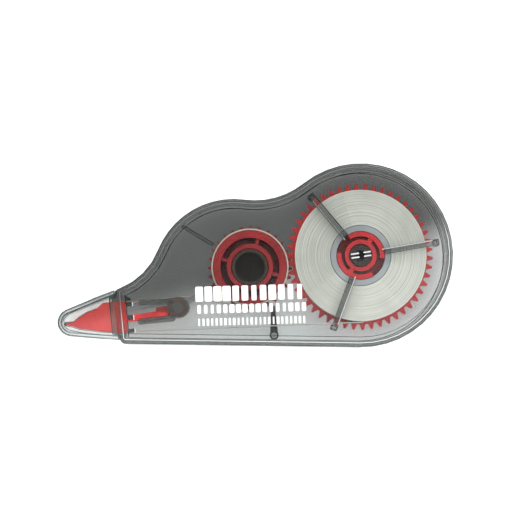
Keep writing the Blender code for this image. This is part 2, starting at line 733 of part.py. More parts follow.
def make_head():
    """Wedge with its blade, guide cheeks, stem and the eye on the pivot pin."""
    lower = MID_Z - HEAD_THICK / 2
    upper = MID_Z + HEAD_THICK / 2
    web = [at_tip(*p) for p in web_outline()]
    head = make_object('applicator_head', prism(web, lower, upper), PIN)
    cheek_rear = HEAD_REAR - FIT_GAP
    cheek = [at_tip(*p) for p in ((cheek_rear, CHEEK_TOP), (7.4, CHEEK_TOP), (5.2, 1.9), (6.4, -2.3),
                                  (9.5, -CHEEK_BELLY), (cheek_rear, -CHEEK_BELLY))]
    cheeks = [prism(cheek, lower - CHEEK_THICK, lower + BITE),
              prism(cheek, upper - BITE, upper + CHEEK_THICK)]
    shape_with(head, 'cheeks', combine(cheeks), 'UNION')
    low, high = eye_range()
    lean = STEM_THICK / 2
    root = HEAD_REAR - 3 * BITE
    stem = [at_tip(*p) for p in ((root, -0.45 - lean), (STEM_END, -lean), (STEM_END, 1.6), (18.8, 1.45),
                                 (18.6, lean - 0.05), (root, lean - 0.45))]
    shape_with(head, 'stem', prism(stem, low, high), 'UNION')
    shape_with(head, 'eye', prism(circle(PIN, EYE_R, 24), low + 0.01, high - 0.01), 'UNION')
    stop = [at_tip(*p) for p in ((18.9, -0.7), (21.1, -0.6), (21.1, 0.1), (18.9, 0.1))]
    shape_with(head, 'stop', prism(stop, MID_Z, ROOF_Z - STOP_GAP), 'UNION')
    shape_with(head, 'eye_bore', prism(circle(PIN, PIN_R + FIT_GAP, 24), 0, THICKNESS), 'DIFFERENCE')
    return head


# ================================================================ pawl

def inner_wall(z):
    """How far the shell's inner side stands in from its edge at a height."""
    if z >= EDGE_R:
        return WALL
    rounding = EDGE_R - WALL
    return WALL + rounding * (1 - sqrt(1 - ((EDGE_R - z) / rounding) ** 2))


def pawl_pivot():
    """Pivot of the pawl, clear of the rounded corner inside the casing's lower wall."""
    x = SUPPLY.x - PAWL_X
    return Vector((x, belly_y(x) + inner_wall(pawl_range()[0]) + PAWL_FOOT_R + RUN_GAP))


def pawl_range():
    """Lowest and highest point of the pawl along its pivot."""
    return WHEEL_Z, WHEEL_Z + PAWL_WIDTH


def make_pawl():
    """One-way finger that rests beside the pinion's teeth."""
    pivot = pawl_pivot()
    low, high = pawl_range()
    tip = TAKE_UP + polar(TAKE_UP_TIP_R + CLEAR, PAWL_ANGLE)
    along = (tip - pivot).normalized()
    side = Vector((-along.y, along.x))
    root = side * PAWL_FOOT_R * 0.9
    finger = [pivot - root, tip - side * PAWL_TIP_WIDTH, tip, pivot + root]
    pawl = make_object('back_stop_pawl', prism(finger, low + 0.01, high - 0.01), pivot)
    shape_with(pawl, 'pawl_foot', prism(circle(pivot, PAWL_FOOT_R, 20), low, high), 'UNION')
    bore = prism(circle(pivot, PAWL_PIN_R + FIT_GAP, 16), low - 1, high + 1)
    shape_with(pawl, 'pawl_bore', bore, 'DIFFERENCE')
    return pawl


# ================================================================ assembly

def clear_scene():
    """Remove whatever the scene holds."""
    for piece in list(bpy.data.objects):
        bpy.data.objects.remove(piece, do_unlink=True)


def main():
    """Model every piece and hang the moving ones on their axes."""
    clear_scene()
    smoke = plastic('smoke_plastic', (0.42, 0.45, 0.46), 0.12, alpha=0.45, transmission=0.9)
    clear = plastic('clear_plastic', (0.85, 0.92, 0.93), 0.08, alpha=0.3, transmission=1.0)
    red = plastic('red_plastic', (0.72, 0.06, 0.08), 0.35)
    red_head = plastic('head_plastic', (0.80, 0.08, 0.09), 0.32)
    grey = plastic('core_plastic', (0.55, 0.58, 0.63), 0.4)
    white = plastic('white_tape', (0.78, 0.79, 0.73), 0.6)
    cream = plastic('liner_film', (0.85, 0.78, 0.66), 0.5)
    dark = plastic('pawl_plastic', (0.12, 0.15, 0.14), 0.3)

    supply_axis = axis_empty('supply_axis', SUPPLY)
    take_up_axis = axis_empty('take_up_axis', TAKE_UP)
    head_axis = axis_empty('head_axis', PIN)
    pawl_axis = axis_empty('pawl_axis', pawl_pivot())

    back = make_shell('back_shell', upper=False)
    dress_back_shell(back)
    finish(back, smoke)
    front = make_shell('front_shell', upper=True)
    dress_front_shell(front)
    finish(front, smoke)
    finish(make_cap(), clear)

    finish(make_supply_gear(), red, supply_axis)
    finish(make_clutch(), red, supply_axis)
    core = tube(SUPPLY, CORE_INNER_R, CORE_OUTER_R, WHEEL_TOP_Z + CLEAR, TAPE_TOP_Z + FIT_GAP, 48)
    finish(make_object('roll_core', core, SUPPLY), grey, supply_axis)
    roll = tube(SUPPLY, CORE_OUTER_R + FIT_GAP, ROLL_R, TAPE_Z, TAPE_TOP_Z, 64)
    finish(make_object('tape_roll', roll, SUPPLY), white, supply_axis)

    finish(make_take_up_reel(), red, take_up_axis)
    liner = tube(TAKE_UP, DRUM_R + FIT_GAP, LINER_OUTER_R, TAPE_Z, TAPE_TOP_Z, 48)
    finish(make_object('liner_roll', liner, TAKE_UP), cream, take_up_axis)

    fresh, head_loop, liner_run = make_films()
    finish(fresh, white)
    finish(head_loop, white, head_axis)
    finish(liner_run, cream)
    finish(make_head(), red_head, head_axis)
    finish(make_pawl(), dark, pawl_axis)


main()
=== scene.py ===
"""Finishes and fine pieces for a see-through correction tape roller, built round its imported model."""
import json
import logging
import math
from dataclasses import dataclass, field
from enum import Enum

import bmesh
import bpy
from mathutils import Euler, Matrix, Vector


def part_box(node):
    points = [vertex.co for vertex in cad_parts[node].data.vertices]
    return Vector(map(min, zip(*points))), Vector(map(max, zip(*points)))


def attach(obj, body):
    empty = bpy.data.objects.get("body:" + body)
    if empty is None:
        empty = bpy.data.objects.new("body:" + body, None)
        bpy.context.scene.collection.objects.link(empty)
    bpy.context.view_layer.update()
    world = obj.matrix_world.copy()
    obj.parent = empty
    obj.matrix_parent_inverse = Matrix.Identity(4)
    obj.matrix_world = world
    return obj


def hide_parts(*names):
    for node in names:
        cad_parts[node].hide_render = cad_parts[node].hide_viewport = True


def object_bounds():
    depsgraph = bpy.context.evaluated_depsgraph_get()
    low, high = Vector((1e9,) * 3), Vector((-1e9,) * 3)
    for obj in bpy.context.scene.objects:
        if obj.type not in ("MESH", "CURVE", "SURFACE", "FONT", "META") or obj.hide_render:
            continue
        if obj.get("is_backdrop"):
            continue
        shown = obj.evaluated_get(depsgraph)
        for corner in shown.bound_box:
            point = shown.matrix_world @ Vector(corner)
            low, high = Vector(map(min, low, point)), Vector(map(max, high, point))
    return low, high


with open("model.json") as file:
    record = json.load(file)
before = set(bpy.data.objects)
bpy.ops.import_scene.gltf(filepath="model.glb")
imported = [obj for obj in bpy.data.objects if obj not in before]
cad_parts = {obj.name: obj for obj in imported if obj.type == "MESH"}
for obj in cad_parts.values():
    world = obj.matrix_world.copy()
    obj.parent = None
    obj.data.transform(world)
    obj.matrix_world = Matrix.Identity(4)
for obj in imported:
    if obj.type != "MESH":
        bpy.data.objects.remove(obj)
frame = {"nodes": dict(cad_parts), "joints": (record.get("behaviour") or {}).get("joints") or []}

logging.basicConfig(level=logging.INFO, format="%(message)s")
log = logging.getLogger("tape_roller")

Colour = tuple[float, float, float]
Triple = tuple[float, float, float]
MM = 0.001
PER_MM = 1000.0
MERGE_GAP = 1e-7
CUT_SLACK = 1e-8
PIECE_CREASE = 40.0
ARC_STEPS = 90
TURN_SIDES = 4
BEAD_SIDES = 8
CORNER_STEPS = 4
UNEVEN_WIDTHS = (0.65, 1.25)
NOISE_SPREAD = (0.3, 0.7)


class Slot(Enum):
    """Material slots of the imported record."""

    SMOKE = "smoke_plastic"
    CLEAR = "clear_plastic"
    RED = "red_plastic"
    HEAD = "head_plastic"
    CORE = "core_plastic"
    TAPE = "white_tape"
    LINER = "liner_film"
    PAWL = "pawl_plastic"
    PRINT = "white_print"


class Body(Enum):
    """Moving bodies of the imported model."""

    CASING = "casing"
    DRIVE_WHEEL = "drive_wheel"
    TAPE_SPOOL = "tape_spool"
    TAKE_UP = "take_up"
    CAP = "cap"
    HEAD = "head"
    PAWL = "pawl"


def add_node(tree: bpy.types.NodeTree, kind: str, values: dict | None = None,
             **settings: object) -> bpy.types.Node:
    """Add a node, with its inputs set or linked.

    Args:
        tree: The node tree to add to.
        kind: The node's type name.
        values: Each input's name or number, with a value or the socket it is linked to.
        settings: Attributes of the node itself.

    Returns:
        The new node.
    """
    node = tree.nodes.new(kind)
    for key, setting in settings.items():
        setattr(node, key, setting)
    for key, value in (values or {}).items():
        if isinstance(value, bpy.types.NodeSocket):
            tree.links.new(value, node.inputs[key])
        else:
            node.inputs[key].default_value = value
    return node


@dataclass(frozen=True)
class Sweep:
    """A painted change of shade along one direction, from start to end in millimetres."""

    angle: float
    start: float
    end: float


@dataclass(frozen=True)
class Finish:
    """What every finish has: a name, a deep and a light shade, and its gloss. In a see-through finish these
    two are the ends of a painted shade.
    """

    name: str
    deep: Colour
    light: Colour
    roughness: float = 0.3
    alpha: float = 1.0
    bump: float = 0.15
    bend: float = 1.49

    def millimetres(self, tree: bpy.types.NodeTree, centre: Vector = Vector(), turn: float = 0.0,
                    stretch: Triple = (1, 1, 1)) -> bpy.types.NodeSocket:
        """Give object coordinates in millimetres.

        Args:
            tree: The material's node tree.
            centre: The point that becomes the origin, in metres.
            turn: How far the directions are turned about Z, in degrees.
            stretch: A scale for each direction.

        Returns:
            The vector socket.
        """
        place = add_node(tree, "ShaderNodeTexCoord")
        shift = add_node(tree, "ShaderNodeMapping", {
            "Vector": place.outputs["Object"],
            "Location": -centre * PER_MM,
            "Scale": Vector((PER_MM, PER_MM, PER_MM)),
        })
        turned = add_node(tree, "ShaderNodeMapping", {
            "Vector": shift.outputs["Vector"],
            "Rotation": Euler((0, 0, math.radians(-turn))),
        })
        scaled = add_node(tree, "ShaderNodeMapping", {"Vector": turned.outputs["Vector"], "Scale": stretch})
        return scaled.outputs["Vector"]

    def noise(self, tree: bpy.types.NodeTree, vector: bpy.types.NodeSocket, scale: float,
              low: float, high: float, detail: float = 4.0) -> bpy.types.NodeSocket:
        """Give a noise between two values.

        Args:
            tree: The material's node tree.
            vector: Where the noise is read, in millimetres.
            scale: Its grains per millimetre.
            low: The lowest value.
            high: The highest value.
            detail: Its octaves.

        Returns:
            The value socket.
        """
        grains = add_node(tree, "ShaderNodeTexNoise", {"Vector": vector, "Scale": scale, "Detail": detail})
        least, most = NOISE_SPREAD
        spread = add_node(tree, "ShaderNodeMapRange", {
            "Value": grains.outputs["Fac"], "From Min": least, "From Max": most,
            "To Min": low, "To Max": high,
        })
        return spread.outputs["Result"]

    def blend(self, tree: bpy.types.NodeTree, amount: bpy.types.NodeSocket,
              first: Colour | bpy.types.NodeSocket,
              second: Colour | bpy.types.NodeSocket) -> bpy.types.NodeSocket:
        """Blend two colours.

        Args:
            tree: The material's node tree.
            amount: How much of the second.
            first: A colour or a colour socket.
            second: A colour or a colour socket.

        Returns:
            The colour socket.
        """
        mix = add_node(tree, "ShaderNodeMix", {"Factor": amount}, data_type="RGBA")
        for socket, value in ((mix.inputs[6], first), (mix.inputs[7], second)):
            if isinstance(value, bpy.types.NodeSocket):
                tree.links.new(value, socket)
            else:
                socket.default_value = (*value, 1)
        return mix.outputs[2]

    def begin(self) -> tuple[bpy.types.Material, bpy.types.NodeTree, bpy.types.Node]:
        """Start the material with a lone shader whose constant values are on its sockets.

        Returns:
            The material, its node tree and its shader.
        """
        material = bpy.data.materials.new(self.name)
        material.use_nodes = True
        tree = material.node_tree
        shader = tree.nodes["Principled BSDF"]
        shader.inputs["Alpha"].default_value = self.alpha
        shader.inputs["Roughness"].default_value = self.roughness
        shader.inputs["IOR"].default_value = self.bend
        return material, tree, shader


@dataclass(frozen=True)
class Plastic(Finish):
    """Moulded plastic, with a fine grain, soft edges and flow marks from the mould."""

    grain: float = 0.9
    flow: float = 0.24
    flow_stretch: Triple = (1, 1, 0.3)
    edge: float = 0.16
    gloss_spread: tuple[float, float] = (0.8, 1.25)
    fineness: float = 4.0
    depth: float = 0.02

    def material(self) -> bpy.types.Material:
        """Build the material.

        Returns:
            The material.
        """
        material, tree, shader = self.begin()
        place = self.millimetres(tree)
        flowed = self.noise(tree, self.millimetres(tree, stretch=self.flow_stretch), self.flow, 0.0, 1.0)
        tree.links.new(self.blend(tree, flowed, self.deep, self.light), shader.inputs["Base Color"])
        least, most = self.gloss_spread
        gloss = self.noise(tree, place, self.grain, self.roughness * least, self.roughness * most)
        tree.links.new(gloss, shader.inputs["Roughness"])
        height = self.noise(tree, place, self.grain * self.fineness, 0.0, 1.0)
        bump = add_node(tree, "ShaderNodeBump", {
            "Height": height, "Strength": self.bump, "Distance": self.depth * MM,
        })
        if self.edge:
            rounded = add_node(tree, "ShaderNodeBevel", {"Radius": self.edge * MM}, samples=4)
            tree.links.new(rounded.outputs["Normal"], bump.inputs["Normal"])
        tree.links.new(bump.outputs["Normal"], shader.inputs["Normal"])
        return material


@dataclass(frozen=True)
class SeeThrough(Finish):
    """Tinted see-through plastic that gathers colour where it is seen edge on, with painted shade running
    across it.
    """

    edge_alpha: float = 0.6
    edge_power: float = 3.0
    thin_alpha: float = 0.1
    # The sweep paints shade: tint, edge colour and opacity run from the deep side at its start to the light
    # side at its end.
    sweep: Sweep = Sweep(-75.4, 1.2, 9.7)
    edge_deep: Colour = (0.05, 0.055, 0.05)
    edge_light: Colour = (0.5, 0.54, 0.54)
    rib_alpha: float = 0.0
    rib_from: float = 0.0
    rib_to: float = 0.0
    rib_colour: Colour = (0.16, 0.18, 0.165)
    # Colour and opacity of the painted shadow down the axle bores.
    bore_shadow_colour: Colour = (0.06, 0.042, 0.036)
    bore_shadow_alpha: float = 0.88
    wall_alpha: float = 0.0
    wall_colour: Colour = (0.10, 0.115, 0.105)
    shine: float = 0.25
    bend: float = 1.25
    level_from: float = 0.8
    wall_spread: tuple[float, float] = (0.75, 0.15)
    # A noise that wobbles where the painted shade changes.
    painted_shade_wobble_turn: float = 24.0
    painted_shade_wobble_stretch: Triple = (0.4, 1, 1)
    painted_shade_wobble_scale: float = 0.09
    painted_shade_wobble_shift: float = 1.6
    scuff_turn: float = 35.0
    scuff_stretch: Triple = (0.2, 3, 1)
    scuff_scale: float = 1.2
    scuff_spread: tuple[float, float] = (0.7, 1.6)

    def wall_share(self, tree: bpy.types.NodeTree) -> bpy.types.NodeSocket:
        """Give 1 on upright walls, falling to 0 on level faces.

        Args:
            tree: The material's node tree.

        Returns:
            The value socket.
        """
        normal = add_node(tree, "ShaderNodeNewGeometry").outputs["Normal"]
        rise = add_node(tree, "ShaderNodeSeparateXYZ", {0: normal}).outputs["Z"]
        size = add_node(tree, "ShaderNodeMath", {0: rise}, operation="ABSOLUTE").outputs[0]
        level, upright = self.wall_spread
        return add_node(tree, "ShaderNodeMapRange", {
            "Value": size, "From Min": level, "From Max": upright,
        }).outputs["Result"]

    def rib_share(self, tree: bpy.types.NodeTree) -> bpy.types.NodeSocket:
        """Give 1 on the level ends of ribs, tubes and pins inside the casing, and 0 elsewhere.

        Args:
            tree: The material's node tree.

        Returns:
            The value socket.
        """
        height = add_node(tree, "ShaderNodeSeparateXYZ", {0: self.millimetres(tree)}).outputs["Z"]
        normal = add_node(tree, "ShaderNodeNewGeometry").outputs["Normal"]
        rise = add_node(tree, "ShaderNodeSeparateXYZ", {0: normal}).outputs["Z"]
        low = add_node(tree, "ShaderNodeMath", {0: height, 1: self.rib_to}, operation="LESS_THAN").outputs[0]
        high = add_node(tree, "ShaderNodeMath", {0: height, 1: self.rib_from},
                        operation="GREATER_THAN").outputs[0]
        inside = add_node(tree, "ShaderNodeMath", {0: low, 1: high}, operation="MULTIPLY").outputs[0]
        flat = add_node(tree, "ShaderNodeMath", {0: rise}, operation="ABSOLUTE").outputs[0]
        level = add_node(tree, "ShaderNodeMath", {0: flat, 1: self.level_from},
                         operation="GREATER_THAN").outputs[0]
        return add_node(tree, "ShaderNodeMath", {0: inside, 1: level}, operation="MULTIPLY").outputs[0]

    def shadow_pool(self, tree: bpy.types.NodeTree, axle: Vector, radius: float) -> bpy.types.NodeSocket:
        """Give 1 within a radius of an axle, and 0 elsewhere: the mask of a painted shadow.

        Args:
            tree: The material's node tree.
            axle: A point on the axle.
            radius: The radius, in millimetres.

        Returns:
            The value socket.
        """
        place = self.millimetres(tree, centre=axle)
        flat = add_node(tree, "ShaderNodeVectorMath", {0: place, 1: Vector((1, 1, 0))}, operation="MULTIPLY")
        length = add_node(tree, "ShaderNodeVectorMath", {0: flat.outputs[0]},
                          operation="LENGTH").outputs["Value"]
        return add_node(tree, "ShaderNodeMath", {0: length, 1: radius}, operation="LESS_THAN").outputs[0]

    def material(self, bore_shadows: tuple[tuple[Vector, float], ...] = ()) -> bpy.types.Material:
        """Build the material.

        Args:
            bore_shadows: Axles, each with the radius in millimetres within which a painted shadow darkens
                the shell, where the floor is dark down the bore.

        Returns:
            The material.
        """
        material, tree, shader = self.begin()
        shader.inputs["Specular IOR Level"].default_value = self.shine
        # Painted shade: tint, edge colour and opacity change along the sweep, wobbled by a noise.
        across = add_node(tree, "ShaderNodeSeparateXYZ", {0: self.millimetres(tree, turn=self.sweep.angle)})
        drifted = self.millimetres(tree, turn=self.painted_shade_wobble_turn, stretch=self.painted_shade_wobble_stretch)
        painted_shade_wobble = self.noise(tree, drifted, self.painted_shade_wobble_scale, -self.painted_shade_wobble_shift, self.painted_shade_wobble_shift, detail=2)
        moved = add_node(tree, "ShaderNodeMath", {0: across.outputs["X"], 1: painted_shade_wobble}, operation="ADD")
        share = add_node(tree, "ShaderNodeMapRange", {
            "Value": moved.outputs[0], "From Min": self.sweep.start, "From Max": self.sweep.end,
        }, interpolation_type="SMOOTHSTEP").outputs["Result"]
        facing = add_node(tree, "ShaderNodeLayerWeight", {"Blend": 0.5}).outputs["Facing"]
        edge = add_node(tree, "ShaderNodeMath", {0: facing, 1: self.edge_power},
                        operation="POWER").outputs[0]
        body = self.blend(tree, share, self.deep, self.light)
        rim = self.blend(tree, share, self.edge_deep, self.edge_light)
        # Opacity follows the painted shade, from alpha on the deep side to thin_alpha on the light side.
        flat = add_node(tree, "ShaderNodeMapRange", {
            "Value": share, "To Min": self.alpha, "To Max": self.thin_alpha,
        }).outputs["Result"]
        if self.wall_alpha:
            wall = self.wall_share(tree)
            body = self.blend(tree, wall, body, self.wall_colour)
            flat = add_node(tree, "ShaderNodeMapRange", {
                "Value": wall, "To Min": flat, "To Max": self.wall_alpha,
            }).outputs["Result"]
        colour = self.blend(tree, edge, body, rim)
        solid = add_node(tree, "ShaderNodeMapRange", {
            "Value": edge, "To Min": flat, "To Max": self.edge_alpha,
        }).outputs["Result"]
        if self.rib_alpha:
            rib = self.rib_share(tree)
            colour = self.blend(tree, rib, colour, self.rib_colour)
            solid = add_node(tree, "ShaderNodeMapRange", {
                "Value": rib, "To Min": solid, "To Max": self.rib_alpha,
            }).outputs["Result"]
        # Painted shadow: darker and more opaque within each bore's radius.
        for axle, radius in bore_shadows:
            bore_shadow = self.shadow_pool(tree, axle, radius)
            colour = self.blend(tree, bore_shadow, colour, self.bore_shadow_colour)
            solid = add_node(tree, "ShaderNodeMapRange", {
                "Value": bore_shadow, "To Min": solid, "To Max": self.bore_shadow_alpha,
            }).outputs["Result"]
        tree.links.new(colour, shader.inputs["Base Color"])
        tree.links.new(solid, shader.inputs["Alpha"])
        rubbed = self.millimetres(tree, turn=self.scuff_turn, stretch=self.scuff_stretch)
        least, most = self.scuff_spread
        scuffs = self.noise(tree, rubbed, self.scuff_scale, self.roughness * least, self.roughness * most)
        tree.links.new(scuffs, shader.inputs["Roughness"])
        return material


@dataclass(frozen=True)
class WoundFilm(Finish):
    """Film wound on an axle, with its turns showing as fine rings."""

    turns: float = 3.0
    depth: float = 0.05
    ring_spread: tuple[float, float] = (0.32, 0.62)
    patch_scale: float = 0.15
    ground: float = 0.25

    def material(self, axle: Vector) -> bpy.types.Material:
        """Build the material.

        Args:
            axle: The point that the film is wound about.

        Returns:
            The material.
        """
        material, tree, shader = self.begin()
        place = self.millimetres(tree, centre=axle)
        flat = add_node(tree, "ShaderNodeVectorMath", {0: place, 1: Vector((1, 1, 0))}, operation="MULTIPLY")
        radius = add_node(tree, "ShaderNodeVectorMath", {0: flat.outputs[0]},
                          operation="LENGTH").outputs["Value"]
        rings = add_node(tree, "ShaderNodeTexNoise", {"W": radius, "Scale": self.turns, "Detail": 3.0},
                         noise_dimensions="1D").outputs["Fac"]
        patches = self.noise(tree, place, self.patch_scale, 0.0, 1.0, detail=2)
        least, most = self.ring_spread
        spread = add_node(tree, "ShaderNodeMapRange", {
            "Value": rings, "From Min": least, "From Max": most,
        }).outputs["Result"]
        shade = add_node(tree, "ShaderNodeMath", {0: spread, 1: patches, 2: self.ground},
                         operation="MULTIPLY_ADD")
        colour = self.blend(tree, shade.outputs[0], self.deep, self.light)
        tree.links.new(colour, shader.inputs["Base Color"])
        bump = add_node(tree, "ShaderNodeBump", {
            "Height": rings, "Strength": self.bump, "Distance": self.depth * MM,
        })
        tree.links.new(bump.outputs["Normal"], shader.inputs["Normal"])
        return material


class Growth:
    """A geometry node tree with named inputs, and the calls that build it."""

    def __init__(self, name: str, inputs: dict[str, str]) -> None:
        """Start the tree.

        Args:
            name: The tree's name.
            inputs: Each input's name, with its socket's type.
        """
        self.tree = bpy.data.node_groups.new(name, "GeometryNodeTree")
        for title, kind in inputs.items():
            self.tree.interface.new_socket(title, in_out="INPUT", socket_type="NodeSocket" + kind)
        self.tree.interface.new_socket("Geometry", in_out="OUTPUT", socket_type="NodeSocketGeometry")
        self.given = self.tree.nodes.new("NodeGroupInput").outputs

    def add(self, kind: str, values: dict | None = None, **settings: object) -> bpy.types.Node:
        """Add a node to the tree."""
        return add_node(self.tree, kind, values, **settings)

    def vector(self, x: float | bpy.types.NodeSocket = 0.0, y: float | bpy.types.NodeSocket = 0.0,
               z: float | bpy.types.NodeSocket = 0.0) -> bpy.types.NodeSocket:
        """Join three values or sockets into a vector."""
        return self.add("ShaderNodeCombineXYZ", {0: x, 1: y, 2: z}).outputs[0]

    def close(self, shape: bpy.types.NodeSocket) -> None:
        """End the tree in Realize Instances and Set Material.

        Args:
            shape: The finished shape's socket.
        """
        real = self.add("GeometryNodeRealizeInstances", {0: shape})
        done = self.add("GeometryNodeSetMaterial", {0: real.outputs[0], "Material": self.given["Material"]})
        self.add("NodeGroupOutput", {0: done.outputs[0]})

    def grow(self, name: str, values: dict, base: bpy.types.Mesh | None = None) -> bpy.types.Object:
        """Run the tree and keep its result as a plain mesh.

        Args:
            name: The piece's name.
            values: Each input's value, by the input's name.
            base: The mesh that the tree starts from.

        Returns:
            The new piece.
        """
        holder = bpy.data.objects.new(name + "_seed", base or bpy.data.meshes.new(name + "_seed"))
        bpy.context.scene.collection.objects.link(holder)
        modifier = holder.modifiers.new("growth", "NODES")
        modifier.node_group = self.tree
        for item in self.tree.interface.items_tree:
            if item.in_out == "INPUT" and item.name in values:
                modifier[item.identifier] = values[item.name]
        depsgraph = bpy.context.evaluated_depsgraph_get()
        mesh = bpy.data.meshes.new_from_object(holder.evaluated_get(depsgraph), depsgraph=depsgraph)
        holder.modifiers.remove(modifier)
        bpy.data.objects.remove(holder)
        mesh.name = name
        piece = bpy.data.objects.new(name, mesh)
        bpy.context.scene.collection.objects.link(piece)
        mesh.polygons.foreach_set("use_smooth", [True] * len(mesh.polygons))
        mesh.set_sharp_from_angle(angle=math.radians(PIECE_CREASE))
        return piece


def ring_growth() -> Growth:
    """Tree for the ends of wound turns: thin arcs about an axle, with jittered radii.

    Returns:
        The tree.
    """
    growth = Growth("wound_turns", {
        "Centre": "Vector", "Inner": "Float", "Outer": "Float", "Count": "Int", "Sweep": "Float",
        "Wire": "Float", "Jitter": "Float", "Seed": "Int", "Material": "Material",
    })
    given = growth.given
    line = growth.add("GeometryNodeMeshLine", {"Count": given["Count"], "Offset": Vector()})
    arc = growth.add("GeometryNodeCurveArc", {
        "Resolution": ARC_STEPS, "Radius": 1.0, "Start Angle": 0.0, "Sweep Angle": given["Sweep"],
    })
    index = growth.add("GeometryNodeInputIndex").outputs[0]
    even = growth.add("ShaderNodeMapRange", {
        "Value": index, "From Max": given["Count"], "To Min": given["Inner"], "To Max": given["Outer"],
    })
    spread = growth.add("FunctionNodeRandomValue", {2: -1.0, 3: 1.0, "ID": index, "Seed": given["Seed"]})
    radius = growth.add("ShaderNodeMath", {
        0: spread.outputs[1], 1: given["Jitter"], 2: even.outputs["Result"],
    }, operation="MULTIPLY_ADD").outputs[0]
    turn = growth.add("FunctionNodeRandomValue", {2: 0.0, 3: math.tau, "ID": radius, "Seed": given["Seed"]})
    placed = growth.add("GeometryNodeInstanceOnPoints", {
        "Points": line.outputs[0], "Instance": arc.outputs[0],
        "Rotation": growth.vector(z=turn.outputs[1]), "Scale": growth.vector(radius, radius, 1.0),
    })
    real = growth.add("GeometryNodeRealizeInstances", {0: placed.outputs[0]})
    profile = growth.add("GeometryNodeCurvePrimitiveCircle", {
        "Resolution": TURN_SIDES, "Radius": given["Wire"],
    })
    wire = growth.add("GeometryNodeCurveToMesh", {
        "Curve": real.outputs[0], "Profile Curve": profile.outputs[0], "Fill Caps": True,
    })
    moved = growth.add("GeometryNodeTransform", {
        "Geometry": wire.outputs[0], "Translation": given["Centre"],
    })
    growth.close(moved.outputs[0])
    return growth


def bead_growth() -> Growth:
    """Tree for a thin bead that follows a closed line, used for painted shade lines and a painted highlight
    line.

    Returns:
        The tree.
    """
    growth = Growth("line_bead", {"Line": "Geometry", "Width": "Float", "Material": "Material"})
    path = growth.add("GeometryNodeMeshToCurve", {0: growth.given["Line"]})
    profile = growth.add("GeometryNodeCurvePrimitiveCircle", {
        "Resolution": BEAD_SIDES, "Radius": growth.given["Width"],
    })
    bead = growth.add("GeometryNodeCurveToMesh", {
        "Curve": path.outputs[0], "Profile Curve": profile.outputs[0],
    })
    growth.close(bead.outputs[0])
    return growth


def mark_growth() -> Growth:
    """Tree for a row of small flat blocks with rounded corners and uneven lengths.

    Returns:
        The tree.
    """
    growth = Growth("printed_marks", {
        "Start": "Vector", "Count": "Int", "Step": "Float", "Width": "Float", "Height": "Float",
        "Round": "Float", "Slope": "Float", "Ink": "Float", "Seed": "Int", "Material": "Material",
    })
    given = growth.given
    line = growth.add("GeometryNodeMeshLine", {
        "Count": given["Count"], "Offset": growth.vector(given["Step"]),
    })
    box = growth.add("GeometryNodeCurvePrimitiveQuadrilateral", {
        "Width": given["Width"], "Height": given["Height"],
    })
    soft = growth.add("GeometryNodeFilletCurve", {
        "Curve": box.outputs[0], "Radius": given["Round"], "Count": CORNER_STEPS,
    }, mode="POLY")
    face = growth.add("GeometryNodeFillCurve", {0: soft.outputs[0]})
    raised = growth.add("GeometryNodeExtrudeMesh", {
        "Mesh": face.outputs[0], "Offset Scale": given["Ink"], "Individual": False,
    })
    under = growth.add("GeometryNodeFlipFaces", {0: face.outputs[0]})
    both = growth.add("GeometryNodeJoinGeometry", {0: raised.outputs[0]})
    growth.tree.links.new(under.outputs[0], both.inputs[0])
    closed = growth.add("GeometryNodeMergeByDistance", {"Geometry": both.outputs[0], "Distance": MERGE_GAP})
    index = growth.add("GeometryNodeInputIndex").outputs[0]
    least, most = UNEVEN_WIDTHS
    uneven = growth.add("FunctionNodeRandomValue", {2: least, 3: most, "ID": index, "Seed": given["Seed"]})
    placed = growth.add("GeometryNodeInstanceOnPoints", {
        "Points": line.outputs[0], "Instance": closed.outputs[0],
        "Scale": growth.vector(uneven.outputs[1], 1.0, 1.0),
    })
    moved = growth.add("GeometryNodeTransform", {
        "Geometry": placed.outputs[0], "Translation": given["Start"],
        "Rotation": growth.vector(z=given["Slope"]),
    })
    growth.close(moved.outputs[0])
    return growth


def merged_shape(node: str) -> bmesh.types.BMesh:
    """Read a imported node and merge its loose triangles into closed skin.

    Args:
        node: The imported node.

    Returns:
        The merged shape.
    """
    shape = bmesh.new()
    shape.from_mesh(frame["nodes"][node].data)
    bmesh.ops.remove_doubles(shape, verts=shape.verts, dist=MERGE_GAP)
    return shape


def as_mesh(shape: bmesh.types.BMesh, name: str) -> bpy.types.Mesh:
    """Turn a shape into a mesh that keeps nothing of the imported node's own normals.

    Args:
        shape: The shape, which is freed.
        name: The mesh's name.

    Returns:
        The mesh.
    """
    mesh = bpy.data.meshes.new(name)
    shape.to_mesh(mesh)
    shape.free()
    for attribute in ("custom_normal", "sharp_edge", "sharp_face"):
        if attribute in mesh.attributes:
            mesh.attributes.remove(mesh.attributes[attribute])
    return mesh


def centre_of(node: str) -> Vector:
    """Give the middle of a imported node's box."""
    low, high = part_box(node)
    return (low + high) / 2


